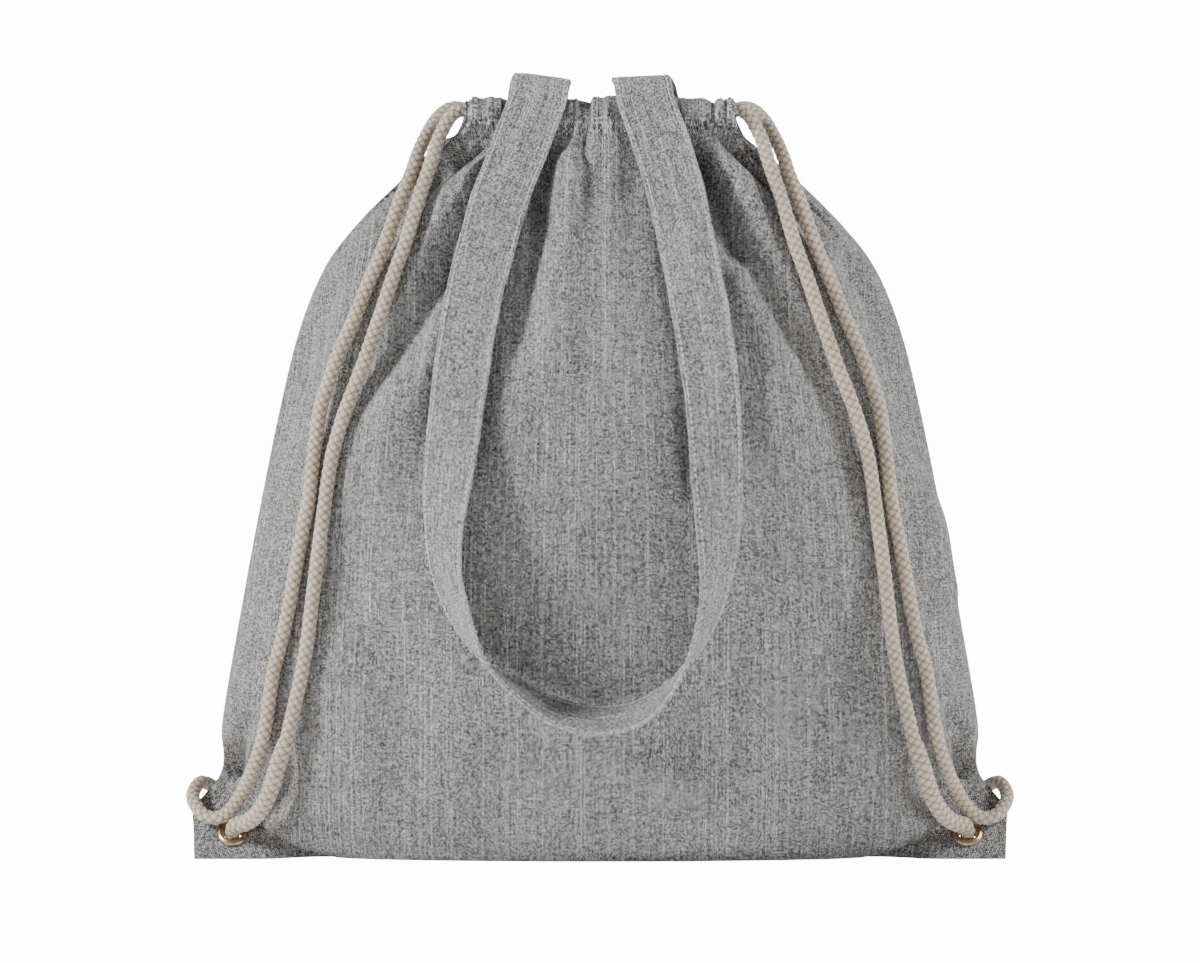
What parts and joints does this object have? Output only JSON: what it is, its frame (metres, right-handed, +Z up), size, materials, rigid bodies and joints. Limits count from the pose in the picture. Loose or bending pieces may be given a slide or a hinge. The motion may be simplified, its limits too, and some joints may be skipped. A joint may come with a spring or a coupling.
{
  "type": "drawstring backpack",
  "caption": "Filled cloth drawstring bag, drawn shut at a gathered neck, with a corded shoulder strap on each side and two short swinging carrying handles.",
  "frame": {"origin": "on the ground under the middle of the filled bag", "axes": "+Z up, -Y is the front that the shoulder cords hang over, +X runs along the bottom seam"},
  "size_m": [0.3662, 0.1794, 0.3445],
  "materials": {
    "grey_cloth": "matte plain weave of white and dark grey yarn",
    "strap_cloth": "matte plain weave, folded and top-stitched",
    "cord_cotton": "matte round-braided natural cotton",
    "aged_brass": "satin antique brass"
  },
  "bodies": {
    "bag": {"front_panel": "grey_cloth", "back_panel": "grey_cloth", "front_drawcord_channel": "grey_cloth", "back_drawcord_channel": "grey_cloth", "front_handle_left_end": "strap_cloth", "front_handle_right_end": "strap_cloth", "back_handle_left_end": "strap_cloth", "back_handle_right_end": "strap_cloth", "left_cord_in_channel": "cord_cotton", "left_cord_outer_strand": "cord_cotton", "left_cord_inner_strand": "cord_cotton", "left_cord_splice": "cord_cotton", "right_cord_in_channel": "cord_cotton", "right_cord_outer_strand": "cord_cotton", "right_cord_inner_strand": "cord_cotton", "right_cord_splice": "cord_cotton", "left_eyelet_front": "aged_brass", "left_eyelet_back": "aged_brass", "right_eyelet_front": "aged_brass", "right_eyelet_back": "aged_brass"},
    "front_handle": {"front_handle": "strap_cloth"},
    "back_handle": {"back_handle": "strap_cloth"}
  },
  "joints": [
    {"name": "front_handle_swing", "type": "hinge", "parent": "bag", "child": "front_handle", "pos_m": [0, -0.0145, 0.335], "axis": [-1, 0, 0], "range_deg": [0, 155]},
    {"name": "back_handle_swing", "type": "hinge", "parent": "bag", "child": "back_handle", "pos_m": [0, 0.0145, 0.335], "axis": [1, 0, 0], "range_deg": [0, 155]}
  ]
}
